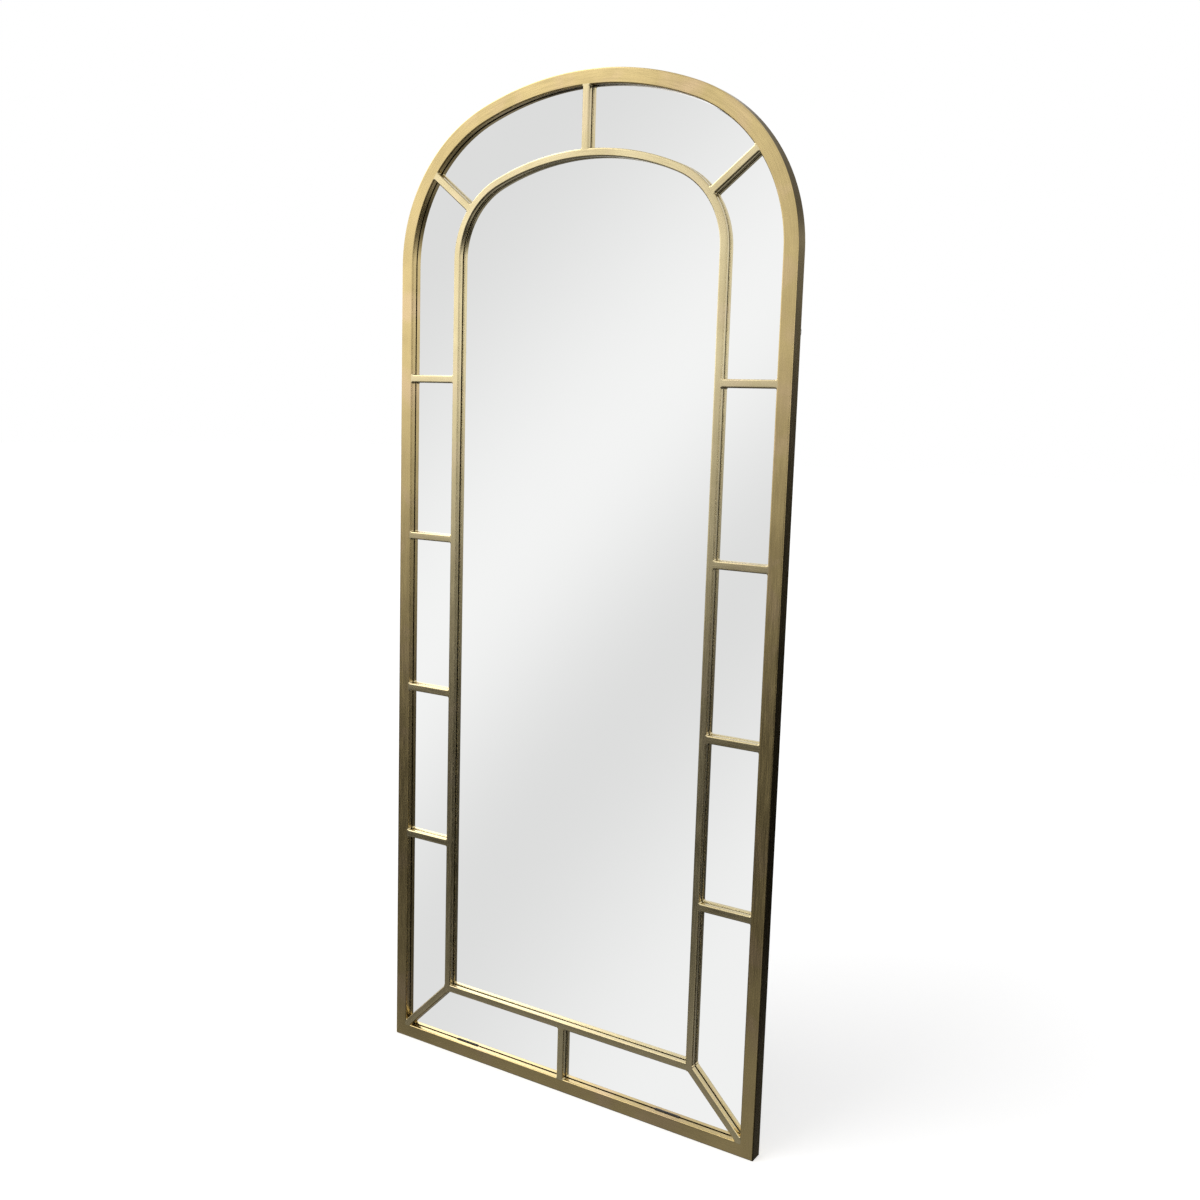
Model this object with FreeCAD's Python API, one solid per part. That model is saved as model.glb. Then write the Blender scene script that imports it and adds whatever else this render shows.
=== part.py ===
import FreeCAD, Part
import math
import os

from FreeCAD import Vector

# Leaning arched floor mirror, in millimetres. X runs to the right, Y to the back, Z up.
# The origin is at the middle of the space the mirror takes, on the floor.

# Outer frame: a tube with rounded edges
frame_width = 800.0
frame_height = 1828.0
shoulder_radius = 288.0    # outside radius where a side turns into the arch
crown_radius = 593.0       # outside radius of the flatter crown
tube_face = 26.0
tube_depth = 28.0
tube_wall = 1.5
tube_edge_radius = 2.5

# Inner frame and the bars between the two frames
side_margin = 97.0         # glass showing between the frames, at the sides
base_margin = 98.0         # and between the two bottom rails
crown_margin = 102.0       # and between the two arches at the crown
inner_shoulder_radius = 147.0
inner_crown_radius = 479.0
bar_face = 14.0
bar_depth = 10.0
bar_wall = 1.0
bar_edge_radius = 2.5
cope_share = 0.65          # of an edge radius, how far a bar's end runs up over the rounded edge it meets
side_bar_count = 4         # on each side
shoulder_bar_angle = 38.0  # degrees above level

# Glass, tape and backing board, one behind the other behind the bars
glass_thickness = 3.0
tape_thickness = 1.0
board_thickness = 9.0
edge_gap = 1.5             # around the glass and the board, inside the tube
tape_width = 25.0
tape_strip_count = 4
tape_strip_inset = 45.0    # from the board's side edge to the first strip
tape_end_inset = 40.0      # from the board's bottom edge and from the springing line
block_length = 50.0
block_thickness = 1.5
block_inset = 175.0        # from the frame's side to the middle of a setting block

# Offset clips that hold the board
clip_thickness = 1.5
clip_width = 15.0
clip_foot = 14.0           # on the back of the tube
clip_reach = 16.0          # over the board, from the tube's inner face
clip_step_gap = 0.8        # between the tube's inner face and the step
clip_screw_inset = 8.0     # from the tube's inner face
clip_corner_radius = 3.0
side_clip_count = 4
first_side_clip = 160.0    # height of the lowest
last_side_clip = 190.0     # below the springing line
base_clip_count = 3
base_clip_pitch = 230.0
shoulder_clip_count = 2    # on each shoulder; one more is at the top of the crown

# Screws
screw_radius = 1.75
screw_length = 12.0
screw_point = 3.0
screw_head_radius = 3.3
screw_head_height = 2.0
screw_head_dome = 0.7
recess_length = 3.6
recess_width = 0.8
recess_depth = 1.0
loose_hole_gap = 0.35      # around a screw in a clip or strap
tight_hole_gap = 0.05      # around a screw in the tube

# Hangers: a strap with a rolled eye and a D-ring in it, on each side
hanger_drop = 118.0        # from the springing line down to the eye's axis
strap_width = 14.0
strap_thickness = 1.2
strap_length = 33.0        # above the eye's axis
strap_corner_radius = 4.0
strap_screw_heights = (8.0, 26.0)
ring_wire_radius = 1.5
ring_half_width = 10.0     # wire centre to wire centre, halved
ring_leg = 6.0             # from the eye's axis to the middle of the bow
ring_corner_radius = 2.5
eye_gap = 0.3

# Rubber bumpers on the back
bumper_radius = 7.0
bumper_top_radius = 5.5
bumper_height = 8.0
bumper_edge_radius = 1.2
low_bumper_height = 60.0   # the high ones are on the shoulders, between two clips

# Places that follow from the sizes
half_width = frame_width / 2
front = -(tube_depth + bumper_height) / 2
back = front + tube_depth
bar_back = front + bar_depth
glass_back = bar_back + glass_thickness
tape_back = glass_back + tape_thickness
board_back = tape_back + board_thickness
inner_half_width = half_width - tube_face - side_margin
inner_base = tube_face + base_margin
inner_top = frame_height - tube_face - crown_margin
eye_radius = ring_wire_radius + eye_gap
eye_axis = back + strap_thickness + eye_radius
hanger_x = half_width - tube_face / 2
clear = 50.0               # how far a cutting shape stands past what it cuts
backwards = Vector(0, 1, 0)


def point(x, z, y=0.0):
    return Vector(x, y, z)


def around(centre, radius, angle, y=0.0):
    turn = math.radians(angle)
    return point(centre.x + radius * math.cos(turn), centre.z + radius * math.sin(turn), y)


class Arch:
    """Two shoulder arcs and a crown arc, tangent to each other and to the upright sides."""

    def __init__(self, half, shoulder, crown, top):
        self.half = half
        self.shoulder = shoulder
        self.crown = crown
        self.shoulder_x = half - shoulder
        self.crown_centre = point(0, top - crown)
        rise = math.sqrt((crown - shoulder) ** 2 - self.shoulder_x ** 2)
        self.spring = self.crown_centre.z + rise
        self.joint = math.degrees(math.atan2(rise, self.shoulder_x))

    def shoulder_centre(self, side):
        return point(side * self.shoulder_x, self.spring)

    def on_shoulder(self, side, angle, inset):
        """A point on one shoulder; the angle is above level, on either side."""
        return around(self.shoulder_centre(side), self.shoulder - inset, angle if side > 0 else 180 - angle)

    def on_crown(self, angle, inset):
        return around(self.crown_centre, self.crown - inset, angle)

    def face(self, inset, base):
        """The area inside the arch and its sides, set in by the inset, down to the base."""
        half = self.half - inset
        spots = [self.on_shoulder(1, angle, inset) for angle in (0, self.joint / 2, self.joint)]
        spots += [self.on_crown(90, inset)]
        spots += [self.on_shoulder(-1, angle, inset) for angle in (self.joint, self.joint / 2, 0)]
        edges = [
            Part.makeLine(point(-half, base), point(half, base)),
            Part.makeLine(point(half, base), spots[0]),
            Part.Arc(spots[0], spots[1], spots[2]).toShape(),
            Part.Arc(spots[2], spots[3], spots[4]).toShape(),
            Part.Arc(spots[4], spots[5], spots[6]).toShape(),
            Part.makeLine(spots[6], point(-half, base)),
        ]
        return Part.Face(Part.Wire(edges))

    def plate(self, inset, base, near, far):
        plate = self.face(inset, base).extrude(backwards * (far - near))
        plate.translate(backwards * near)
        return plate


outer = Arch(half_width, shoulder_radius, crown_radius, frame_height)
inner = Arch(inner_half_width, inner_shoulder_radius, inner_crown_radius, inner_top)
hanger_height = outer.spring - hanger_drop


def rounded_rectangle(low_x, low_y, high_x, high_y, radius):
    """A wire in the plane Z = 0."""
    if radius <= 0:
        corners = [(low_x, low_y), (high_x, low_y), (high_x, high_y), (low_x, high_y), (low_x, low_y)]
        return Part.makePolygon([Vector(x, y, 0) for x, y in corners])
    edges = []
    last = None
    centres = [
        (high_x - radius, low_y + radius, -90),
        (high_x - radius, high_y - radius, 0),
        (low_x + radius, high_y - radius, 90),
        (low_x + radius, low_y + radius, 180),
    ]
    for x, y, start in centres:
        turns = [math.radians(start + step) for step in (0, 45, 90)]
        arc = [Vector(x + radius * math.cos(turn), y + radius * math.sin(turn), 0) for turn in turns]
        if last is not None:
            edges.append(Part.makeLine(last, arc[0]))
        edges.append(Part.Arc(*arc).toShape())
        last = arc[2]
    edges.append(Part.makeLine(last, edges[0].valueAt(edges[0].FirstParameter)))
    return Part.Wire(edges)


def hollow_section(low_x, face, depth, wall, edge_radius):
    """A tube's section in the plane Z = 0, with its front face at the front."""
    outside = solid_section(low_x, face, depth, edge_radius)
    inside = rounded_rectangle(
        low_x + wall, front + wall, low_x + face - wall, front + depth - wall, edge_radius - wall
    )
    return outside.cut(Part.Face(inside)).Faces[0]


def solid_section(low_x, face, depth, edge_radius):
    return Part.Face(rounded_rectangle(low_x, front, low_x + face, front + depth, edge_radius))


def frame_section(low_x):
    return hollow_section(low_x, tube_face, tube_depth, tube_wall, tube_edge_radius)


def bar_section(low_x):
    return hollow_section(low_x, bar_face, bar_depth, bar_wall, bar_edge_radius)


def bent_arch(arch, section, face):
    """The tube or bar along the arch, from springing to springing."""
    right = section(arch.half - face)
    right.translate(point(0, arch.spring))
    pieces = [right.revolve(arch.shoulder_centre(1), -backwards, arch.joint)]
    crown = section(arch.crown - face)
    crown.translate(arch.crown_centre)
    crown.rotate(arch.crown_centre, -backwards, arch.joint)
    pieces.append(crown.revolve(arch.crown_centre, -backwards, 180 - 2 * arch.joint))
    left = section(-arch.half)
    left.translate(point(0, arch.spring))
    pieces.append(left.revolve(arch.shoulder_centre(-1), backwards, arch.joint))
    return pieces[0].multiFuse(pieces[1:]).removeSplitter()


def rail_region(arch, base, face):
    """The prism below the two mitre lines of the square bottom corners."""
    out = arch.half + clear
    high = 2 * face
    corners = [
        point(-out, base - clear), point(out, base - clear),
        point(arch.half - high, base + high), point(high - arch.half, base + high),
    ]
    prism = Part.Face(Part.makePolygon(corners + corners[:1])).extrude(backwards * (tube_depth + 2 * clear))
    prism.translate(backwards * (front - clear))
    return prism


def upright(arch, base, section, face, side):
    """One straight side, mitred at the bottom."""
    low_x = arch.half - face if side > 0 else -arch.half
    piece = section(low_x).extrude(point(0, arch.spring - base))
    piece.translate(point(0, base))
    return piece.cut(rail_region(arch, base, face))


def bottom_rail(arch, base, section, face):
    piece = section(0.0)
    piece.rotate(Vector(0, 0, 0), backwards, -90)
    piece.translate(point(-arch.half, base))
    return piece.extrude(point(2 * arch.half, 0)).common(rail_region(arch, base, face))


def whole_frame(arch, base, section, face):
    """The four pieces of one frame: the arch, the sides and the bottom rail."""
    return [
        bent_arch(arch, section, face), upright(arch, base, section, face, -1),
        upright(arch, base, section, face, 1), bottom_rail(arch, base, section, face),
    ]


def clip_seats():
    """Where each clip sits on the tube's inner face: the point and the way in, in degrees."""
    seats = []
    inner_face = half_width - tube_face
    span = outer.spring - last_side_clip - first_side_clip
    for side in (-1, 1):
        for index in range(side_clip_count):
            height = first_side_clip + span * index / max(side_clip_count - 1, 1)
            seats.append((point(side * inner_face, height), 180 if side > 0 else 0))
        for index in range(shoulder_clip_count):
            angle = outer.joint * (index + 0.5) / shoulder_clip_count
            spot = outer.on_shoulder(side, angle, tube_face)
            seats.append((spot, 180 + angle if side > 0 else -angle))
    for index in range(base_clip_count):
        seats.append((point((index - (base_clip_count - 1) / 2) * base_clip_pitch, tube_face), 90))
    seats.append((outer.on_crown(90, tube_face), -90))
    return seats


def place(piece, spot, angle, y):
    """Turns a piece made along X to the angle and moves it to the spot."""
    placed = piece.copy()
    placed.rotate(Vector(0, 0, 0), backwards, -angle)
    placed.translate(point(spot.x, spot.z, y))
    return placed


def clip_screw_spots():
    return [around(spot, clip_screw_inset, angle + 180) for spot, angle in clip_seats()]


def strap_screw_spots(side):
    return [point(side * hanger_x, hanger_height + height) for height in strap_screw_heights]


def frame_holes():
    """Cutters for every screw hole in the back wall of the tube."""
    spots = clip_screw_spots() + strap_screw_spots(-1) + strap_screw_spots(1)
    depth = 2 * tube_wall
    radius = screw_radius + tight_hole_gap
    start = back - depth
    return [Part.makeCylinder(radius, 2 * depth, point(spot.x, spot.z, start), backwards) for spot in spots]


def between_frames():
    """The band between the two frames, as deep as the bars, a little over the rounded edges of both."""
    over_tube = tube_edge_radius * cope_share
    over_bar = bar_edge_radius * cope_share
    band = outer.plate(tube_face - over_tube, tube_face - over_tube, front, bar_back)
    return band.cut(inner.plate(over_bar, inner_base + over_bar, front - clear, bar_back + clear))


def cope_shapes():
    """Both frames with solid sections, which the ends of the bars are cut to."""
    def tube(low_x):
        return solid_section(low_x, tube_face, tube_depth, tube_edge_radius)

    def bar(low_x):
        return solid_section(low_x, bar_face, bar_depth, bar_edge_radius)

    return whole_frame(outer, 0, tube, tube_face) + whole_frame(inner, inner_base, bar, bar_face)


def straight_bar(start, end):
    """A bar centred on the line from start to end, its ends cut to lie on the two frames."""
    reach = end - start
    piece = bar_section(-bar_face / 2).extrude(point(0, reach.Length))
    piece.rotate(Vector(0, 0, 0), backwards, math.degrees(math.atan2(reach.x, reach.z)))
    piece.translate(start)
    return piece.common(band).cut(cope)


def shoulder_bar(side):
    start = inner.on_shoulder(side, shoulder_bar_angle, bar_face)
    end = inner.on_shoulder(side, shoulder_bar_angle, -side_margin - crown_margin)
    return straight_bar(start, end)


def side_bar_height(index):
    """Evenly spaced from the inner bottom rail up to where a shoulder bar's line enters the centre field."""
    low = inner_base + bar_face / 2
    high = inner.on_shoulder(1, shoulder_bar_angle, bar_face).z
    return low + (high - low) * (index + 1) / (side_bar_count + 1)


def side_bar(side, index):
    height = side_bar_height(index)
    near = inner_half_width - bar_face / 2
    far = half_width - tube_face / 2
    return straight_bar(point(side * near, height), point(side * far, height))


def corner_bar(side):
    """On the line from the inner frame's bottom corner to the corner inside the tube."""
    near = point(side * inner_half_width, inner_base)
    far = point(side * (half_width - tube_face), tube_face)
    extra = (near - far).normalize() * bar_face
    return straight_bar(near + extra, far - extra)


def crown_bar():
    return straight_bar(point(0, inner_top - bar_face), point(0, frame_height))


def base_bar():
    return straight_bar(point(0, 0), point(0, inner_base + bar_face))


def sheet(near, far):
    """The glass or the board: the frame's outline inside the tube, standing on the setting blocks."""
    return outer.plate(tube_face + edge_gap, tube_face + block_thickness, near, far)


def mounting_tape():
    sheet_half = half_width - tube_face - edge_gap
    first = tape_strip_inset - sheet_half
    pitch = -2 * first / (tape_strip_count - 1)
    low = tube_face + block_thickness + tape_end_inset
    length = outer.spring - tape_end_inset - low
    strips = []
    for index in range(tape_strip_count):
        corner = point(first + pitch * index - tape_width / 2, low, glass_back)
        strips.append(Part.makeBox(tape_width, tape_thickness, length, corner))
    return Part.makeCompound(strips)


def setting_blocks():
    depth = board_back - bar_back
    blocks = []
    for side in (-1, 1):
        corner = point(side * (half_width - block_inset) - block_length / 2, tube_face, bar_back)
        blocks.append(Part.makeBox(block_length, depth, block_thickness, corner))
    return Part.makeCompound(blocks)


def offset_clip():
    """Made at the origin: X points in over the board, Y = 0 is the back of the tube."""
    drop = back - board_back
    step = clip_step_gap + clip_thickness
    profile = [
        (-clip_foot, 0), (-clip_foot, clip_thickness), (step, clip_thickness), (step, clip_thickness - drop),
        (clip_reach, clip_thickness - drop), (clip_reach, -drop), (clip_step_gap, -drop), (clip_step_gap, 0),
    ]
    corners = [Vector(x, y, -clip_width / 2) for x, y in profile]
    clip = Part.Face(Part.makePolygon(corners + corners[:1])).extrude(point(0, clip_width))
    ends = [
        edge for edge in clip.Edges
        if abs(edge.Length - clip_thickness) < 1e-6
        and abs(edge.tangentAt(edge.FirstParameter).y) > 0.99
        and (edge.BoundBox.XMin < 0 - clip_foot + 1e-6 or edge.BoundBox.XMax > clip_reach - 1e-6)
    ]
    clip = clip.makeFillet(clip_corner_radius, ends)
    hole = Part.makeCylinder(
        screw_radius + loose_hole_gap, 3 * clip_thickness, Vector(-clip_screw_inset, -clip_thickness, 0), backwards
    )
    return clip.cut(hole)


def retaining_clips():
    clip = offset_clip()
    return Part.makeCompound([place(clip, spot, angle, back) for spot, angle in clip_seats()])


def screw():
    """Pan head with a cross recess; the head sits on Y = 0 and the shank points forward."""
    outline = [
        (0, -screw_length), (screw_radius, screw_point - screw_length), (screw_radius, 0), (screw_head_radius, 0),
        (screw_head_radius, screw_head_height - screw_head_dome),
    ]
    spots = [Vector(x, y, 0) for x, y in outline]
    top = Vector(0, screw_head_height, 0)
    edges = [Part.makeLine(near, far) for near, far in zip(spots, spots[1:])]
    middle = Vector(screw_head_radius * 0.7, screw_head_height - screw_head_dome * 0.45, 0)
    edges.append(Part.Arc(spots[-1], middle, top).toShape())
    edges.append(Part.makeLine(top, spots[0]))
    solid = Part.Face(Part.Wire(edges)).revolve(Vector(0, 0, 0), backwards, 360)
    start = screw_head_height - recess_depth
    for length, width in ((recess_length, recess_width), (recess_width, recess_length)):
        corner = Vector(-length / 2, start, -width / 2)
        solid = solid.cut(Part.makeBox(length, 2 * recess_depth, width, corner))
    return solid


def screws(spots, seat):
    piece = screw()
    return Part.makeCompound([place(piece, spot, 0, seat) for spot in spots])


def hanger_strap(side):
    """A plate on the back of the tube, rolled round the ring's straight bar at its lower end."""
    x = side * hanger_x
    low_x = x - strap_width / 2
    eye = point(low_x, hanger_height, eye_axis)
    along = Vector(1, 0, 0)
    plate = Part.makeBox(strap_width, strap_thickness, strap_length, point(low_x, hanger_height, back))
    tops = [
        edge for edge in plate.Edges
        if edge.BoundBox.ZMin > hanger_height + strap_length - 1e-6 and abs(edge.Length - strap_thickness) < 1e-6
    ]
    plate = plate.makeFillet(strap_corner_radius, tops)
    roll = Part.makeCylinder(eye_radius + strap_thickness, strap_width, eye, along)
    strap = plate.fuse(roll).removeSplitter().cut(Part.makeCylinder(eye_radius, strap_width, eye, along))
    for spot in strap_screw_spots(side):
        start = point(spot.x, spot.z, back - strap_thickness)
        strap = strap.cut(Part.makeCylinder(screw_radius + loose_hole_gap, 3 * strap_thickness, start, backwards))
    return strap


def d_ring(side):
    """Hanging straight down from its straight bar in the eye."""
    wire = Part.Face(Part.Wire(Part.makeCircle(ring_wire_radius, Vector(0, 0, 0), Vector(1, 0, 0))))
    straight = ring_half_width - ring_corner_radius
    bar = wire.copy()
    bar.translate(point(-straight, 0))
    pieces = [bar.extrude(point(2 * straight, 0))]
    for way in (-1, 1):
        corner = wire.copy()
        corner.translate(point(way * straight, 0))
        turn = backwards * way
        pieces.append(corner.revolve(point(way * straight, -ring_corner_radius), turn, 90))
        leg = Part.makeCylinder(
            ring_wire_radius, ring_leg - ring_corner_radius, point(way * ring_half_width, -ring_leg), point(0, 1)
        )
        pieces.append(leg)
    bow = Part.Face(Part.Wire(Part.makeCircle(ring_wire_radius, point(ring_half_width, -ring_leg), point(0, 1))))
    pieces.append(bow.revolve(point(0, -ring_leg), backwards, 180))
    ring = pieces[0].multiFuse(pieces[1:]).removeSplitter()
    ring.translate(point(side * hanger_x, hanger_height, eye_axis))
    return ring


def bumper():
    """Made at the origin, standing on Y = 0."""
    outline = [(0, 0), (bumper_radius, 0), (bumper_top_radius, bumper_height), (0, bumper_height)]
    spots = [Vector(x, y, 0) for x, y in outline]
    body = Part.Face(Part.makePolygon(spots + spots[:1])).revolve(Vector(0, 0, 0), backwards, 360)
    top = [edge for edge in body.Edges if edge.BoundBox.YMin > bumper_height - 1e-6]
    return body.makeFillet(bumper_edge_radius, top)


def wall_bumpers():
    piece = bumper()
    spots = []
    for side in (-1, 1):
        spots.append(point(side * (half_width - tube_face / 2), low_bumper_height))
        spots.append(outer.on_shoulder(side, outer.joint / shoulder_clip_count, tube_face / 2))
    return Part.makeCompound([place(piece, spot, 0, back) for spot in spots])


def outer_frame():
    names = ("outer_arch", "outer_stile_left", "outer_stile_right", "outer_bottom_rail")
    holes = frame_holes()
    pieces = whole_frame(outer, 0, frame_section, tube_face)
    return {name: piece.cut(holes) for name, piece in zip(names, pieces)}


def inner_frame():
    names = ("inner_arch", "inner_stile_left", "inner_stile_right", "inner_bottom_rail")
    return dict(zip(names, whole_frame(inner, inner_base, bar_section, bar_face)))


def bars():
    pieces = {"crown_bar": crown_bar(), "base_bar": base_bar()}
    for side, word in ((-1, "left"), (1, "right")):
        pieces["shoulder_bar_" + word] = shoulder_bar(side)
        pieces["corner_bar_" + word] = corner_bar(side)
        for index in range(side_bar_count):
            pieces["side_bar_%s_%d" % (word, index + 1)] = side_bar(side, index)
    return pieces


def glazing():
    return {
        "mirror_glass": sheet(bar_back, glass_back),
        "mounting_tape": mounting_tape(),
        "backing_board": sheet(tape_back, board_back),
        "setting_blocks": setting_blocks(),
        "retaining_clips": retaining_clips(),
        "clip_screws": screws(clip_screw_spots(), back + clip_thickness),
    }


def back_fittings():
    pieces = {"wall_bumpers": wall_bumpers()}
    seat = back + strap_thickness
    pieces["hanger_screws"] = screws(strap_screw_spots(-1) + strap_screw_spots(1), seat)
    for side, word in ((-1, "left"), (1, "right")):
        pieces["hanger_strap_" + word] = hanger_strap(side)
        pieces["d_ring_" + word] = d_ring(side)
    return pieces


band = between_frames()
cope = cope_shapes()
os.makedirs("parts", exist_ok=True)
for group in (outer_frame(), inner_frame(), bars(), glazing(), back_fittings()):
    for node, shape in group.items():
        shape.exportStep("parts/" + node + ".step")
        print(node, len(shape.Solids), "solid(s),", round(shape.Volume / 1000, 2), "cm3, valid", shape.isValid())
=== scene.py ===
import bpy
import bmesh
import math
from mathutils import Matrix, Vector


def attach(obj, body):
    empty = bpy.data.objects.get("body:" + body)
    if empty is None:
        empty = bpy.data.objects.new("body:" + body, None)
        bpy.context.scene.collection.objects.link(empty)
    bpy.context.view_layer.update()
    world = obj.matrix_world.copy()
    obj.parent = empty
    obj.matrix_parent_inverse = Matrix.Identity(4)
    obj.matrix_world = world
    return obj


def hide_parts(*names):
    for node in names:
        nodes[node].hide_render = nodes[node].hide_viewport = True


# Leaning arched floor mirror, in metres. X right, Y to the back, Z up, floor at Z = 0.

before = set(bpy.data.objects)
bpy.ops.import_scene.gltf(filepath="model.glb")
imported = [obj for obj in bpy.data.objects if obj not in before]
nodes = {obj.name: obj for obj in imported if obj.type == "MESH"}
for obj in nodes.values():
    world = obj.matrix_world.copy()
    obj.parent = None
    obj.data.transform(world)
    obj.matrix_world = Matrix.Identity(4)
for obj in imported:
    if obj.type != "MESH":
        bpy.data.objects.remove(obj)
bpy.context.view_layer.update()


# small helpers

nodeGap = (190, -170)    # between the nodes of a tree, across and down
white = (1, 1, 1, 1)


def newTree(name, inputs):
    # inputs: (name, socket type, default)
    tree = bpy.data.node_groups.new(name, "GeometryNodeTree")
    tree.interface.new_socket("Geometry", in_out="INPUT", socket_type="NodeSocketGeometry")
    for label, kind, value in inputs:
        socket = tree.interface.new_socket(label, in_out="INPUT", socket_type=kind)
        if value is not None:
            socket.default_value = value
    tree.interface.new_socket("Geometry", in_out="OUTPUT", socket_type="NodeSocketGeometry")
    return tree


def addNode(tree, kind, spot, links=None, **settings):
    # links: input name or number -> value, or the output socket it takes
    node = tree.nodes.new(kind)
    node.location = (spot[0] * nodeGap[0], spot[1] * nodeGap[1])
    for key, value in settings.items():
        setattr(node, key, value)
    for key, value in (links or {}).items():
        socket = node.inputs[key]
        if isinstance(value, bpy.types.NodeSocket):
            tree.links.new(value, socket)
        else:
            socket.default_value = value
    return node


def setInput(modifier, label, value):
    for item in modifier.node_group.interface.items_tree:
        if item.in_out == "INPUT" and item.name == label:
            modifier[item.identifier] = value


def pathObject(name, spots, edges, **values):
    # a mesh of edges only, with one float attribute for each of the values
    mesh = bpy.data.meshes.new(name)
    mesh.from_pydata(spots, edges, [])
    for key, numbers in values.items():
        mesh.attributes.new(key, "FLOAT", "POINT").data.foreach_set("value", numbers)
    piece = bpy.data.objects.new(name, mesh)
    bpy.context.scene.collection.objects.link(piece)
    return piece


def freeze(piece):
    # what the modifiers make becomes the piece's own mesh
    bpy.context.view_layer.update()
    made = piece.evaluated_get(bpy.context.evaluated_depsgraph_get())
    mesh = bpy.data.meshes.new_from_object(made)
    piece.modifiers.clear()
    piece.data = mesh
    mesh.name = piece.name
    print("  ", piece.name, len(mesh.polygons), "faces")
    return piece


# sizes of the two arched frames

frontFace = -0.018    # the front of the tube and of the bars
arcStep = 0.012       # between two sections along an arch
seam = 0.001          # left open in the middle of the bottom rail, where the sweep closes itself

outerFrame = {
    "half": 0.400,
    "shoulder": 0.288,     # outside radius of a shoulder
    "crown": 0.593,        # outside radius of the crown
    "top": 1.828,
    "base": 0.0,
    "face": 0.026,
    "depth": 0.028,
    "edge": 0.0025,
    "cornerRound": 0.0008,     # on the square bottom corners
}

innerFrame = {
    "half": 0.277,
    "shoulder": 0.147,
    "crown": 0.479,
    "top": 1.700,
    "base": 0.124,
    "face": 0.014,
    "depth": 0.010,
    "edge": 0.0025,
    "cornerRound": 0.0005,
}


def archCentres(sizes):
    # middle of the right shoulder, middle of the crown, and the angle where they meet
    middleX = sizes["half"] - sizes["shoulder"]
    crownZ = sizes["top"] - sizes["crown"]
    rise = math.sqrt((sizes["crown"] - sizes["shoulder"]) ** 2 - middleX ** 2)
    return (middleX, crownZ + rise), (0.0, crownZ), math.atan2(rise, middleX)


def archPath(sizes, inset, stepLength=arcStep):
    # the outline as (x, z, spread), set in by the inset, from the middle of the bottom round to the seam
    shoulder, crown, joint = archCentres(sizes)
    half = sizes["half"] - inset
    low = sizes["base"] + inset
    mitre = math.sqrt(2)       # how much wider a section is where two tubes meet at a right angle
    path = [(0.0, low, 1.0), (half, low, mitre)]

    def arc(centre, radius, start, end):
        count = max(2, round(abs(end - start) * radius / stepLength))
        for index in range(count):
            angle = start + (end - start) * index / count
            path.append((centre[0] + radius * math.cos(angle), centre[1] + radius * math.sin(angle), 1.0))

    arc(shoulder, sizes["shoulder"] - inset, 0.0, joint)
    arc(crown, sizes["crown"] - inset, joint, math.pi - joint)
    arc((-shoulder[0], shoulder[1]), sizes["shoulder"] - inset, math.pi - joint, math.pi)
    path += [(-half, shoulder[1], 1.0), (-half, low, mitre), (-seam, low, 1.0)]
    return path


# a rounded tube along a path

tubeDetail = {
    "edgeSteps": 5,            # faces round each edge
    "crispAngle": 35,          # degrees; steeper edges are not smoothed
    "cornerAngle": 60,         # degrees; steeper edges get the corner round
    "cornerSteps": 2,
    "grainShift": 0.37,        # so that each bar has its own stretch of the grain
}


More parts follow.
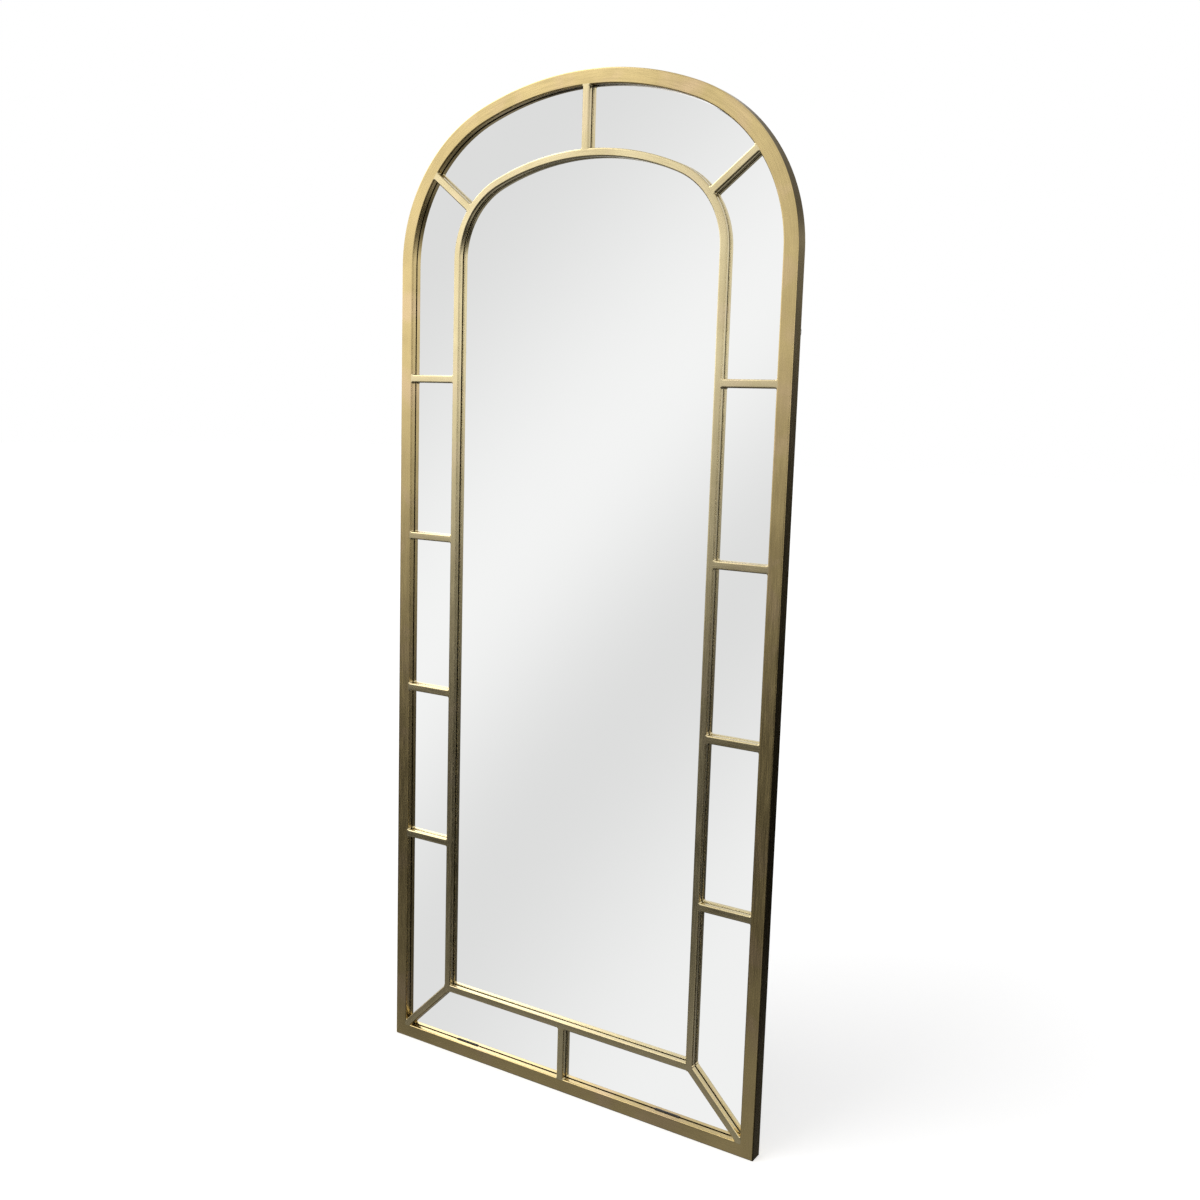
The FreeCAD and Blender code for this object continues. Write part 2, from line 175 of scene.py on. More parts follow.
def makeTubeTree():
    tree = newTree("roundedTube", [
        ("Face", "NodeSocketFloat", outerFrame["face"]),
        ("Depth", "NodeSocketFloat", outerFrame["depth"]),
        ("Edge radius", "NodeSocketFloat", outerFrame["edge"]),
        ("Edge steps", "NodeSocketInt", tubeDetail["edgeSteps"]),
        ("Front", "NodeSocketFloat", frontFace),
        ("Finish", "NodeSocketMaterial", None),
    ])
    source = addNode(tree, "NodeGroupInput", (0, 0))
    middle = addNode(tree, "GeometryNodeInputPosition", (0, 2))
    kept = addNode(tree, "GeometryNodeStoreNamedAttribute", (1, 0), {
        "Geometry": source.outputs["Geometry"], "Name": "centre", "Value": middle.outputs[0],
    }, data_type="FLOAT_VECTOR", domain="POINT")
    line = addNode(tree, "GeometryNodeMeshToCurve", (2, 0), {"Mesh": kept.outputs[0]})
    facing = addNode(tree, "GeometryNodeSetCurveNormal", (3, 0), {
        "Curve": line.outputs[0], "Normal": (0, -1, 0),
    }, mode="FREE")

    # the section, a rectangle with rounded corners that remembers its own places
    outline = addNode(tree, "GeometryNodeCurvePrimitiveQuadrilateral", (0, 4), {
        "Width": source.outputs["Depth"], "Height": source.outputs["Face"],
    })
    rounded = addNode(tree, "GeometryNodeFilletCurve", (1, 4), {
        "Curve": outline.outputs[0], "Radius": source.outputs["Edge radius"],
        "Count": source.outputs["Edge steps"],
    }, mode="POLY")
    sectionSpot = addNode(tree, "GeometryNodeInputPosition", (1, 5))
    section = addNode(tree, "GeometryNodeStoreNamedAttribute", (2, 4), {
        "Geometry": rounded.outputs[0], "Name": "section", "Value": sectionSpot.outputs[0],
    }, data_type="FLOAT_VECTOR", domain="POINT")
    swept = addNode(tree, "GeometryNodeCurveToMesh", (4, 0), {
        "Curve": facing.outputs[0], "Profile Curve": section.outputs[0], "Fill Caps": True,
    })

    # stretch the section in the frame's plane: mitred corners and the brazed ends of the bars
    centre = addNode(tree, "GeometryNodeInputNamedAttribute", (3, 2), {
        "Name": "centre",
    }, data_type="FLOAT_VECTOR")
    spread = addNode(tree, "GeometryNodeInputNamedAttribute", (3, 3), {"Name": "spread"}, data_type="FLOAT")
    here = addNode(tree, "GeometryNodeInputPosition", (3, 4))
    offset = addNode(tree, "ShaderNodeVectorMath", (4, 2), {
        0: here.outputs[0], 1: centre.outputs[0],
    }, operation="SUBTRACT")
    factors = addNode(tree, "ShaderNodeCombineXYZ", (4, 3), {
        "X": spread.outputs[0], "Y": 1.0, "Z": spread.outputs[0],
    })
    stretched = addNode(tree, "ShaderNodeVectorMath", (5, 2), {
        0: offset.outputs[0], 1: factors.outputs[0],
    }, operation="MULTIPLY")
    middleY = addNode(tree, "ShaderNodeMath", (4, 5), {
        0: source.outputs["Depth"], 1: 0.5, 2: source.outputs["Front"],
    }, operation="MULTIPLY_ADD")
    shift = addNode(tree, "ShaderNodeCombineXYZ", (5, 5), {"Y": middleY.outputs[0]})
    placed = addNode(tree, "ShaderNodeVectorMath", (6, 2), {
        0: stretched.outputs[0], 1: centre.outputs[0],
    }, operation="ADD")
    moved = addNode(tree, "GeometryNodeSetPosition", (7, 0), {
        "Geometry": swept.outputs[0], "Position": placed.outputs[0], "Offset": shift.outputs[0],
    })

    # coordinates for the brushing: along the tube, and across it both ways
    along = addNode(tree, "GeometryNodeInputNamedAttribute", (6, 4), {"Name": "along"}, data_type="FLOAT")
    across = addNode(tree, "GeometryNodeInputNamedAttribute", (6, 5), {
        "Name": "section",
    }, data_type="FLOAT_VECTOR")
    parts = addNode(tree, "ShaderNodeSeparateXYZ", (7, 5), {0: across.outputs[0]})
    grain = addNode(tree, "ShaderNodeCombineXYZ", (8, 4), {
        "X": along.outputs[0], "Y": parts.outputs["Y"], "Z": parts.outputs["X"],
    })
    marked = addNode(tree, "GeometryNodeStoreNamedAttribute", (8, 0), {
        "Geometry": moved.outputs[0], "Name": "grain", "Value": grain.outputs[0],
    }, data_type="FLOAT_VECTOR", domain="POINT")

    # smooth along the roundings, while mitres and cut ends stay crisp
    smooth = addNode(tree, "GeometryNodeSetShadeSmooth", (9, 0), {"Geometry": marked.outputs[0]})
    turn = addNode(tree, "GeometryNodeInputMeshEdgeAngle", (8, 2))
    steep = addNode(tree, "FunctionNodeCompare", (9, 2), {
        0: turn.outputs[0], 1: math.radians(tubeDetail["crispAngle"]),
    }, data_type="FLOAT", operation="GREATER_THAN")
    crisp = addNode(tree, "GeometryNodeSetShadeSmooth", (10, 0), {
        "Geometry": smooth.outputs[0], "Selection": steep.outputs[0], "Shade Smooth": False,
    }, domain="EDGE")
    whole = addNode(tree, "GeometryNodeRealizeInstances", (11, 0), {"Geometry": crisp.outputs[0]})
    dressed = addNode(tree, "GeometryNodeSetMaterial", (12, 0), {
        "Geometry": whole.outputs[0], "Material": source.outputs["Finish"],
    })
    addNode(tree, "NodeGroupOutput", (13, 0), {"Geometry": dressed.outputs[0]})
    return tree


def sweep(name, paths, sizes, finish, front):
    # paths: lists of (x, z, spread), each with whether it is closed
    spots, edges, spread, along = [], [], [], []
    for line, closed in paths:
        start, run = len(spots), 0.0
        for index, (x, z, wide) in enumerate(line):
            if index:
                run += math.dist((x, z), line[index - 1][:2])
                edges.append((start + index - 1, start + index))
            spots.append((x, 0.0, z))
            spread.append(wide)
            along.append(run + tubeDetail["grainShift"] * start)
        if closed:
            edges.append((start + len(line) - 1, start))
    piece = pathObject(name, spots, edges, spread=spread, along=along)
    modifier = piece.modifiers.new("tube", "NODES")
    modifier.node_group = tubeTree
    setInput(modifier, "Face", sizes["face"])
    setInput(modifier, "Depth", sizes["depth"])
    setInput(modifier, "Edge radius", sizes["edge"])
    setInput(modifier, "Front", front)
    setInput(modifier, "Finish", finish)
    if "cornerRound" in sizes:
        bevel = piece.modifiers.new("corners", "BEVEL")
        bevel.width = sizes["cornerRound"]
        bevel.segments = tubeDetail["cornerSteps"]
        bevel.limit_method = "ANGLE"
        bevel.angle_limit = math.radians(tubeDetail["cornerAngle"])
    # the flat faces shade flat, up to the roundings
    shading = piece.modifiers.new("flatFaces", "WEIGHTED_NORMAL")
    shading.keep_sharp = True
    return freeze(piece)


# finishes

def newFinish(name):
    material = bpy.data.materials.new(name)
    material.use_nodes = True
    tree = material.node_tree
    shader = tree.nodes["Principled BSDF"]
    return material, tree, shader


# the parts of a noise's range in which one tone, or one polish, gives way to the other
toneSpan = (0.35, 0.68)
polishSpan = (0.3, 0.7)

brassLook = {
    "light": (0.56, 0.435, 0.20, 1),
    "dark": (0.45, 0.345, 0.155, 1),
    "patchScale": 7.0,             # of the light and dark patches
    "rosy": (0.56, 0.41, 0.24, 1),
    "rosyScale": 15.0,
    "rosySpan": (0.52, 0.75),
    "rosyMost": 0.7,
    "brush": (22, 620, 620),       # along the tube, and across it both ways
    "brushTone": (0.91, 1.06),
    "brushBump": 0.05,
    "brushDepth": 0.0004,
    "polish": (0.18, 0.30),        # roughness
    "lacquer": 0.2,
    "lacquerPolish": 0.15,
}

# the slim bars and the inner frame get a paler copy of the brass: painted light, standing in for the
# brighter light these slim bars catch
litBarLook = {
    **brassLook,
    "light": (0.64, 0.545, 0.32, 1),
    "dark": (0.52, 0.43, 0.235, 1),
    "rosy": (0.62, 0.50, 0.32, 1),
}


def makeBrass(name, look):
    material, tree, shader = newFinish(name)
    grain = addNode(tree, "ShaderNodeAttribute", (-8, 0), attribute_name="grain")
    place = addNode(tree, "ShaderNodeTexCoord", (-8, 3))
    stretch = addNode(tree, "ShaderNodeVectorMath", (-7, 0), {
        0: grain.outputs["Vector"], 1: look["brush"],
    }, operation="MULTIPLY")
    brush = addNode(tree, "ShaderNodeTexNoise", (-6, 0), {
        "Vector": stretch.outputs[0], "Scale": 1.0, "Detail": 3.0, "Roughness": 0.6,
    })
    patches = addNode(tree, "ShaderNodeTexNoise", (-6, 2), {
        "Vector": place.outputs["Object"], "Scale": look["patchScale"], "Detail": 4.0, "Roughness": 0.62,
    })
    rosy = addNode(tree, "ShaderNodeTexNoise", (-6, 4), {
        "Vector": place.outputs["Object"], "Scale": look["rosyScale"], "Detail": 2.0, "Distortion": 0.6,
    })
    tone = addNode(tree, "ShaderNodeMapRange", (-5, 2), {
        "Value": patches.outputs["Fac"], "From Min": toneSpan[0], "From Max": toneSpan[1],
    })
    base = addNode(tree, "ShaderNodeMix", (-4, 2), {
        "Factor": tone.outputs[0], 6: look["light"], 7: look["dark"],
    }, data_type="RGBA")
    rosyPart = addNode(tree, "ShaderNodeMapRange", (-5, 4), {
        "Value": rosy.outputs["Fac"], "From Min": look["rosySpan"][0], "From Max": look["rosySpan"][1],
        "To Max": look["rosyMost"],
    })
    warm = addNode(tree, "ShaderNodeMix", (-3, 2), {
        "Factor": rosyPart.outputs[0], 6: base.outputs[2], 7: look["rosy"],
    }, data_type="RGBA")
    lines = addNode(tree, "ShaderNodeMapRange", (-4, 0), {
        "Value": brush.outputs["Fac"], "From Min": polishSpan[0], "From Max": polishSpan[1],
        "To Min": look["brushTone"][0], "To Max": look["brushTone"][1],
    })
    colour = addNode(tree, "ShaderNodeVectorMath", (-2, 1), {
        0: warm.outputs[2], "Scale": lines.outputs[0],
    }, operation="SCALE")
    rough = addNode(tree, "ShaderNodeMapRange", (-3, 4), {
        "Value": brush.outputs["Fac"], "From Min": polishSpan[0], "From Max": polishSpan[1],
        "To Min": look["polish"][0], "To Max": look["polish"][1],
    })
    bump = addNode(tree, "ShaderNodeBump", (-2, 4), {
        "Strength": look["brushBump"], "Distance": look["brushDepth"], "Height": brush.outputs["Fac"],
    })
    shader.inputs["Metallic"].default_value = 1.0
    shader.inputs["Coat Weight"].default_value = look["lacquer"]
    shader.inputs["Coat Roughness"].default_value = look["lacquerPolish"]
    tree.links.new(colour.outputs[0], shader.inputs["Base Color"])
    tree.links.new(rough.outputs[0], shader.inputs["Roughness"])
    tree.links.new(bump.outputs[0], shader.inputs["Normal"])
    return material


silverLook = {
    "tint": (0.93, 0.935, 0.93, 1),
}


def makeSilver():
    material, _, shader = newFinish("silveredGlass")
    shader.inputs["Base Color"].default_value = silverLook["tint"]
    shader.inputs["Metallic"].default_value = 1.0
    shader.inputs["Roughness"].default_value = 0.0
    return material


def makePlain(name, look):
    # two close tones mixed by noise in Object coordinates
    material, tree, shader = newFinish(name)
    place = addNode(tree, "ShaderNodeTexCoord", (-5, 0))
    noise = addNode(tree, "ShaderNodeTexNoise", (-4, 0), {
        "Vector": place.outputs["Object"], "Scale": look["scale"], "Detail": 5.0, "Roughness": 0.65,
    })
    tone = addNode(tree, "ShaderNodeMapRange", (-3, 0), {
        "Value": noise.outputs["Fac"], "From Min": toneSpan[0], "From Max": toneSpan[1],
    })
    mixed = addNode(tree, "ShaderNodeMix", (-2, 0), {
        "Factor": tone.outputs[0], 6: look["tone"], 7: look["other"],
    }, data_type="RGBA")
    rough = addNode(tree, "ShaderNodeMapRange", (-2, 2), {
        "Value": noise.outputs["Fac"], "From Min": polishSpan[0], "From Max": polishSpan[1],
        "To Min": look["polish"][0], "To Max": look["polish"][1],
    })
    tree.links.new(mixed.outputs[2], shader.inputs["Base Color"])
    tree.links.new(rough.outputs[0], shader.inputs["Roughness"])
    if "grainDepth" in look:
        bump = addNode(tree, "ShaderNodeBump", (-2, 4), {
            "Strength": look["grainBump"], "Distance": look["grainDepth"], "Height": noise.outputs["Fac"],
        })
        tree.links.new(bump.outputs[0], shader.inputs["Normal"])
    shader.inputs["Metallic"].default_value = look.get("metallic", 0.0)
    return material


boardLook = {
    "tone": (0.020, 0.019, 0.018, 1),
    "other": (0.034, 0.031, 0.028, 1),
    "scale": 60,
    "polish": (0.62, 0.8),
    "grainBump": 0.4,
    "grainDepth": 0.0003,
}

zincLook = {
    "tone": (0.60, 0.61, 0.62, 1),
    "other": (0.50, 0.51, 0.53, 1),
    "scale": 220,
    "polish": (0.28, 0.42),
    "metallic": 1.0,
}

rubberLook = {
    "tone": (0.022, 0.022, 0.023, 1),
    "other": (0.032, 0.032, 0.033, 1),
    "scale": 400,
    "polish": (0.6, 0.75),
    "grainBump": 0.4,
    "grainDepth": 0.0001,
}

foamLook = {
    "tone": (0.72, 0.72, 0.70, 1),
    "other": (0.66, 0.66, 0.64, 1),
    "scale": 500,
    "polish": (0.8, 0.9),
}

brass = makeBrass("agedBrass", brassLook)
# a paler copy of the same brass for the bars and the inner frame: painted light, not a different finish
litPaleBrass = makeBrass("litPaleBrassFinish", litBarLook)
silver = makeSilver()
blackBoard = makePlain("blackBoard", boardLook)
zinc = makePlain("zincPlate", zincLook)
rubber = makePlain("blackRubber", rubberLook)
foam = makePlain("foamTape", foamLook)
print("finishes made")


# outer and inner frame

tubeTree = makeTubeTree()


def frameLine(sizes):
    # along the middle of the tube
    return [(archPath(sizes, sizes["face"] / 2), True)]


outerPiece = sweep("outerFrame", frameLine(outerFrame), outerFrame, brass, frontFace)
innerPiece = sweep("innerFrame", frameLine(innerFrame), innerFrame, litPaleBrass, frontFace)
print("frames swept")


# the bars between the two frames

barSizes = {
    "face": 0.014,
    "depth": 0.010,
    "edge": 0.0025,
    "sideCount": 4,
    "shoulderAngle": 38,       # degrees above level
    "sunk": 0.00005,           # how far a bar's front lies behind the frames' front
    "braze": 0.0020,           # radius of the brazed fillet at each end
    "brazeSteps": (0.0, 0.08, 0.22, 0.42, 0.68, 1.0),
    "reachOuter": 0.006,       # how far the ends go into the outer tube
    "reachInner": 0.004,
    "reachCorner": 0.002,      # and those of the corner bars
}


def barLine(near, far, nearJoint, farJoint):
    # near and far are the hidden ends; the joints are where the bar's sides leave the frames
    length = math.dist(near, far)
    radius = barSizes["braze"]
    stops = {0.0: radius, length: radius}
    for step in barSizes["brazeSteps"]:
        extra = radius - math.sqrt(radius ** 2 - (radius - step * radius) ** 2)
        stops[nearJoint + step * radius] = extra
        stops[length - farJoint - step * radius] = extra
    half = barSizes["face"] / 2
    line = []
    for run in sorted(stops):
        share = run / length
        x = near[0] + (far[0] - near[0]) * share
        z = near[1] + (far[1] - near[1]) * share
        line.append((x, z, 1 + stops[run] / half))
    return line


def barLines():
    lines = []
    outerIn = outerFrame["half"] - outerFrame["face"]
    low, high = outerFrame["face"], innerFrame["base"]
    toOuter, toInner = barSizes["reachOuter"], barSizes["reachInner"]
    (shoulderX, springing), _, _ = archCentres(innerFrame)
    (outerX, outerZ), _, _ = archCentres(outerFrame)
    angle = math.radians(barSizes["shoulderAngle"])
    half = barSizes["face"] / 2
    # the side bars lie evenly between the inner bottom rail and where a shoulder bar's line comes out inside
    rungTop = springing + (innerFrame["shoulder"] - innerFrame["face"]) * math.sin(angle)
    rungLow = innerFrame["base"] + half
    for side in (-1, 1):
        for index in range(barSizes["sideCount"]):
            z = rungLow + (rungTop - rungLow) * (index + 1) / (barSizes["sideCount"] + 1)
            near, far = outerIn + toOuter, innerFrame["half"] - toInner
            lines.append(((side * near, z), (side * far, z), toOuter, toInner))
        # shoulder bar, from where its line meets the inside of the outer tube
        way = (math.cos(angle), math.sin(angle))
        gap = (shoulderX - outerX, springing - outerZ)
        along = gap[0] * way[0] + gap[1] * way[1]
        inside = outerFrame["shoulder"] - outerFrame["face"]
        reach = -along + math.sqrt(along ** 2 - gap[0] ** 2 - gap[1] ** 2 + inside ** 2)
        far, near = reach + toOuter, innerFrame["shoulder"] - toInner
        lines.append((
            (side * (shoulderX + way[0] * far), springing + way[1] * far),
            (side * (shoulderX + way[0] * near), springing + way[1] * near), toOuter, toInner,
        ))
        # corner bar: its sides leave the tube half its width from the corner, and so at the inner corner
        slope = Vector((outerIn - innerFrame["half"], low - high)).normalized()
        hidden = barSizes["reachCorner"]
        start = Vector((outerIn, low)) + slope * hidden
        end = Vector((innerFrame["half"], high)) - slope * (half + hidden)
        lines.append(((side * start.x, start.y), (side * end.x, end.y), half + hidden, hidden))
    crownHigh, crownLow = outerFrame["top"] - outerFrame["face"], innerFrame["top"]
    lines.append(((0, crownHigh + toOuter), (0, crownLow - toInner), toOuter, toInner))
    lines.append(((0, low - toOuter), (0, high + toInner), toOuter, toInner))
    return [(barLine(*line), False) for line in lines]


barPiece = sweep("fieldBars", barLines(), barSizes, litPaleBrass, frontFace + barSizes["sunk"])
print("bars swept")


# the mirror

mirrorSheet = {
    "inset": 0.0275,       # from the frame's outside
    "face": -0.00603,      # where the silver is seen through 3 mm of glass
    "back": -0.005,
    "arcStep": 0.006,
}


def makeSheet():
    path = archPath(outerFrame, mirrorSheet["inset"], mirrorSheet["arcStep"])[1:-1]
    mesh = bpy.data.meshes.new("mirrorSheet")
    shape = bmesh.new()
    near = [shape.verts.new((x, mirrorSheet["face"], z)) for x, z, _ in path]
    far = [shape.verts.new((x, mirrorSheet["back"], z)) for x, z, _ in path]
    shape.faces.new(near)
    shape.faces.new(far[::-1])
    for index in range(len(path)):
        after = (index + 1) % len(path)
        shape.faces.new((near[after], near[index], far[index], far[after]))
    bmesh.ops.recalc_face_normals(shape, faces=shape.faces)
    shape.to_mesh(mesh)
    shape.free()
    mesh.materials.append(silver)
    piece = bpy.data.objects.new("mirrorSheet", mesh)
    bpy.context.scene.collection.objects.link(piece)
    return piece


sheet = makeSheet()
print("mirror made")


# the back: finishes of the CAD nodes that stay

def dress(material, *names):
    for name in names:
        nodes[name].data.materials.clear()
        nodes[name].data.materials.append(material)


dress(blackBoard, "backing_board")
dress(zinc, "retaining_clips", "clip_screws", "hanger_screws")
dress(zinc, "hanger_strap_left", "hanger_strap_right", "d_ring_left", "d_ring_right")
dress(rubber, "wall_bumpers", "setting_blocks")
dress(foam, "mounting_tape")
print("back dressed")


# pieces to bodies

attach(outerPiece, "frame")
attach(innerPiece, "frame")
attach(barPiece, "frame")
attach(sheet, "frame")
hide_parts("outer_arch", "outer_stile_left", "outer_stile_right", "outer_bottom_rail")
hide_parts("inner_arch", "inner_stile_left", "inner_stile_right", "inner_bottom_rail")
barNodes = ["crown_bar", "base_bar"]
for side in ("left", "right"):
    barNodes += ["shoulder_bar_" + side, "corner_bar_" + side]
    barNodes += ["side_bar_%s_%d" % (side, index + 1) for index in range(barSizes["sideCount"])]
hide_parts(*barNodes)
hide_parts("mirror_glass")


# floor, light and camera

studio = {
    "floorSize": 60.0,
    "floorColour": (0.80, 0.80, 0.80, 1),
    "floorGlow": 0.52,         # seen by the camera only, so that the floor joins the white behind it
    "softSky": 0.50,           # what lights matt surfaces
    "sunAngle": 50,            # degrees across: a very wide, soft lamp
    "sunPower": 1.15,
    "sunFrom": (-0.50, -0.62, 0.68),
}

# what the glass shows at the first reflection: pale bands that slope across the studio
glassRoom = {
    "depthBelow": 2.5,         # at the world, the ray depth is one more than the bounces
    "slope": (0.492, -0.562, -0.665),
    "stops": [(-0.50, 0.80), (0.03, 0.77), (0.236, 0.963), (0.378, 0.777), (0.55, 0.937), (1.0, 0.94)],
}

# what the brass shows, by the direction it looks in: (height, level) stops, and lighter and darker zones;
# each pair says where a zone starts and where it is full, along x (right), y (back) or z (up)
brassRoom = {
    "stops": [
        (-1.0, 0.08), (-0.66, 0.10), (-0.54, 0.56), (-0.46, 0.33), (-0.37, 0.06), (-0.25, 0.09),
        (-0.15, 0.27), (-0.05, 0.54), (0.04, 0.98), (0.14, 1.10), (1.0, 1.05),
    ],
    # how much lighter the walls are to the left and right than in front, by height
    "sideStops": [
        (-1.0, 0.05), (-0.24, 0.0), (-0.14, 0.18), (-0.02, 0.85), (0.06, 0.95), (0.14, 0.48),
        (0.22, 0.15), (1.0, 0.15),
    ],
    "sideAcross": (0.42, 0.62),
    "panel": 2.0,              # a bright panel high on the left
    "panelAcross": (-0.44, -0.52),
    "panelUp": (0.24, 0.38),
    "dark": 0.96,              # how much darker it is low on the right, round to the back
    "darkAcross": (0.0, 0.35),
    "darkAcrossEnd": (0.97, 0.88),
    "darkBack": (-0.85, -0.45),
    "darkUpEnd": (0.45, 0.0),
    "behind": 0.85,            # how much darker it is behind the mirror, above the horizon
    "behindAcross": (-0.50, -0.20),
    "behindBack": (-0.20, 0.30),
    "behindBackEnd": (1.00, 0.94),
    "behindUp": (0.12, 0.30),
    "behindUpEnd": (0.80, 0.45),
}


def makeFloor():
    mesh = bpy.data.meshes.new("studioFloor")
    half = studio["floorSize"] / 2
    corners = [(-half, -half, 0), (half, -half, 0), (half, half, 0), (-half, half, 0)]
    mesh.from_pydata(corners, [], [(0, 1, 2, 3)])
    floor = bpy.data.objects.new("studioFloor", mesh)
    bpy.context.scene.collection.objects.link(floor)
    material = bpy.data.materials.new("paleFloor")
    material.use_nodes = True
    tree = material.node_tree
    tree.nodes.clear()
    path = addNode(tree, "ShaderNodeLightPath", (0, 0))
    matt = addNode(tree, "ShaderNodeBsdfDiffuse", (1, 1), {"Color": studio["floorColour"]})
    lift = addNode(tree, "ShaderNodeMath", (1, 0), {
        0: path.outputs["Is Camera Ray"], 1: studio["floorGlow"],
    }, operation="MULTIPLY")
    glow = addNode(tree, "ShaderNodeEmission", (2, 0), {"Strength": lift.outputs[0]})
    both = addNode(tree, "ShaderNodeAddShader", (3, 0), {0: matt.outputs[0], 1: glow.outputs[0]})
    addNode(tree, "ShaderNodeOutputMaterial", (4, 0), {"Surface": both.outputs[0]})
    mesh.materials.append(material)
    floor.visible_glossy = False


def addRamp(tree, spot, value, stops):
    # a grey ramp over the range of the stops, each (place, level)
    low, high = stops[0][0], stops[-1][0]
    spread = addNode(tree, "ShaderNodeMapRange", spot, {
        "Value": value, "From Min": low, "From Max": high,
    })
    ramp = addNode(tree, "ShaderNodeValToRGB", (spot[0] + 1, spot[1]), {"Fac": spread.outputs[0]})
    ramp.color_ramp.interpolation = "EASE"
    while len(ramp.color_ramp.elements) < len(stops):
        ramp.color_ramp.elements.new(0.5)
    for element, (place, level) in zip(ramp.color_ramp.elements, stops):
        element.position = (place - low) / (high - low)
        element.color = (level, level, level, 1)
    return ramp.outputs["Color"]


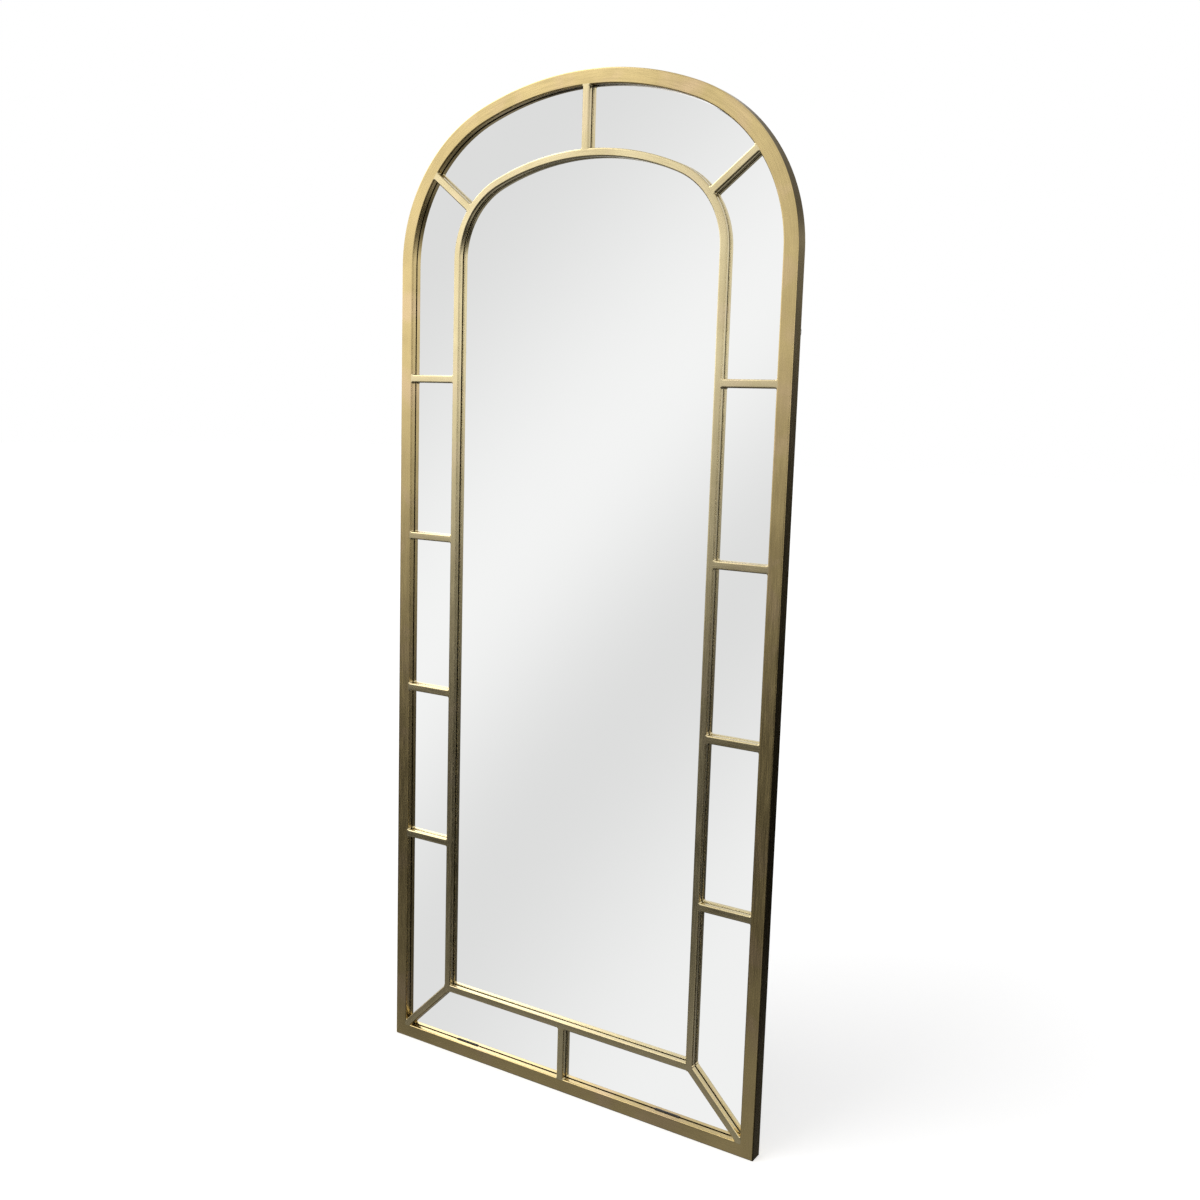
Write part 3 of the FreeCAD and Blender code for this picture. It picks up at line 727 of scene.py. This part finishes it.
def makeWorld():
    world = bpy.data.worlds.new("studio")
    bpy.context.scene.world = world
    world.use_nodes = True
    tree = world.node_tree
    tree.nodes.clear()
    path = addNode(tree, "ShaderNodeLightPath", (0, 0))
    way = addNode(tree, "ShaderNodeTexCoord", (0, 3))
    parts = addNode(tree, "ShaderNodeSeparateXYZ", (1, 5), {0: way.outputs["Generated"]})

    slant = addNode(tree, "ShaderNodeVectorMath", (1, 3), {
        0: way.outputs["Generated"], 1: glassRoom["slope"],
    }, operation="DOT_PRODUCT")
    pale = addRamp(tree, (2, 3), slant.outputs["Value"], glassRoom["stops"])
    sharp = addNode(tree, "ShaderNodeBackground", (5, 3), {"Color": pale})

    def zone(row, *limits):
        # 1 inside all the limits, 0 outside; each limit is an output, where it starts and where it is full
        product = None
        for index, (output, start, full) in enumerate(limits):
            share = addNode(tree, "ShaderNodeMapRange", (2 + index, row), {
                "Value": output, "From Min": start, "From Max": full,
            }, interpolation_type="SMOOTHSTEP").outputs[0]
            if product:
                share = addNode(tree, "ShaderNodeMath", (3 + index, row + 1), {
                    0: product, 1: share,
                }, operation="MULTIPLY").outputs[0]
            product = share
        return product

    x, y, z = parts.outputs
    height = addRamp(tree, (2, 4.5), z, brassRoom["stops"])
    sideHeight = addRamp(tree, (2, 7), z, brassRoom["sideStops"])
    sideways = addNode(tree, "ShaderNodeMath", (2, 6), {0: x}, operation="ABSOLUTE")
    side = zone(6, (sideways.outputs[0], *brassRoom["sideAcross"]))
    panel = zone(8.5, (x, *brassRoom["panelAcross"]), (z, *brassRoom["panelUp"]))
    dark = zone(
        11, (x, *brassRoom["darkAcross"]), (y, *brassRoom["darkBack"]), (z, *brassRoom["darkUpEnd"]),
        (x, *brassRoom["darkAcrossEnd"])
    )
    behind = zone(
        13, (x, *brassRoom["behindAcross"]), (y, *brassRoom["behindBack"]), (z, *brassRoom["behindUp"]),
        (z, *brassRoom["behindUpEnd"]), (y, *brassRoom["behindBackEnd"])
    )
    lighter = addNode(tree, "ShaderNodeMath", (7, 6), {
        0: side, 1: sideHeight, 2: 1.0,
    }, operation="MULTIPLY_ADD")
    brighter = addNode(tree, "ShaderNodeMath", (8, 6), {
        0: panel, 1: brassRoom["panel"], 2: lighter.outputs[0],
    }, operation="MULTIPLY_ADD")
    keep = addNode(tree, "ShaderNodeMath", (8, 8), {
        0: dark, 1: -brassRoom["dark"], 2: 1.0,
    }, operation="MULTIPLY_ADD")
    keepBehind = addNode(tree, "ShaderNodeMath", (8, 10), {
        0: behind, 1: -brassRoom["behind"], 2: 1.0,
    }, operation="MULTIPLY_ADD")
    kept = addNode(tree, "ShaderNodeMath", (9, 8), {
        0: keep.outputs[0], 1: keepBehind.outputs[0],
    }, operation="MULTIPLY")
    level = addNode(tree, "ShaderNodeMath", (10, 6), {
        0: brighter.outputs[0], 1: kept.outputs[0],
    }, operation="MULTIPLY")
    rough = addNode(tree, "ShaderNodeBackground", (10, 4.5), {
        "Color": height, "Strength": level.outputs[0],
    })

    # the camera sees white, matt surfaces a soft sky, and shiny ones a room
    soft = addNode(tree, "ShaderNodeBackground", (5, 1.5), {"Color": white, "Strength": studio["softSky"]})
    blank = addNode(tree, "ShaderNodeBackground", (5, 0), {"Color": white, "Strength": 1.0})
    shiny = addNode(tree, "ShaderNodeMath", (2, 1), {
        0: path.outputs["Is Glossy Ray"], 1: path.outputs["Is Transmission Ray"],
    }, operation="MAXIMUM")
    first = addNode(tree, "ShaderNodeMath", (1, 1), {
        0: path.outputs["Ray Depth"], 1: glassRoom["depthBelow"],
    }, operation="LESS_THAN")
    byGlass = addNode(tree, "ShaderNodeMath", (2, 2), {
        0: path.outputs["Is Singular Ray"], 1: first.outputs[0],
    }, operation="MULTIPLY")
    mirrored = addNode(tree, "ShaderNodeMixShader", (11, 3), {
        0: byGlass.outputs[0], 1: rough.outputs[0], 2: sharp.outputs[0],
    })
    lit = addNode(tree, "ShaderNodeMixShader", (12, 1.5), {
        0: shiny.outputs[0], 1: soft.outputs[0], 2: mirrored.outputs[0],
    })
    seen = addNode(tree, "ShaderNodeMixShader", (13, 0), {
        0: path.outputs["Is Camera Ray"], 1: lit.outputs[0], 2: blank.outputs[0],
    })
    addNode(tree, "ShaderNodeOutputWorld", (14, 0), {"Surface": seen.outputs[0]})


def makeSun():
    light = bpy.data.lights.new("softLamp", "SUN")
    light.energy = studio["sunPower"]
    light.angle = math.radians(studio["sunAngle"])
    lamp = bpy.data.objects.new("softLamp", light)
    lamp.rotation_euler = Vector(studio["sunFrom"]).to_track_quat("Z", "Y").to_euler()
    lamp.visible_glossy = False    # the brass would show it as a bright disc
    bpy.context.scene.collection.objects.link(lamp)


# the camera of the photo, fitted to the frame's edges
photoCamera = {
    "place": (1.24666, -1.91099, 1.26027),
    "right": (0.84428, 0.53507, 0.02986),
    "down": (0.10172, -0.10528, -0.98923),
    "ahead": (-0.52617, 0.83822, -0.14331),
    "sensor": 36,              # mm, like the lens
    "lens": 38.816,
}


def makeCamera():
    lens = bpy.data.cameras.new("camera")
    lens.sensor_width = photoCamera["sensor"]
    lens.lens = photoCamera["lens"]
    camera = bpy.data.objects.new("camera", lens)
    right, down, ahead = (Vector(photoCamera[way]) for way in ("right", "down", "ahead"))
    turn = Matrix((right, -down, -ahead)).transposed()
    camera.matrix_world = Matrix.Translation(photoCamera["place"]) @ turn.to_4x4()
    bpy.context.scene.collection.objects.link(camera)
    bpy.context.scene.camera = camera


makeFloor()
makeWorld()
makeSun()
makeCamera()
bpy.context.scene.view_settings.view_transform = "Standard"
print("studio and camera set")
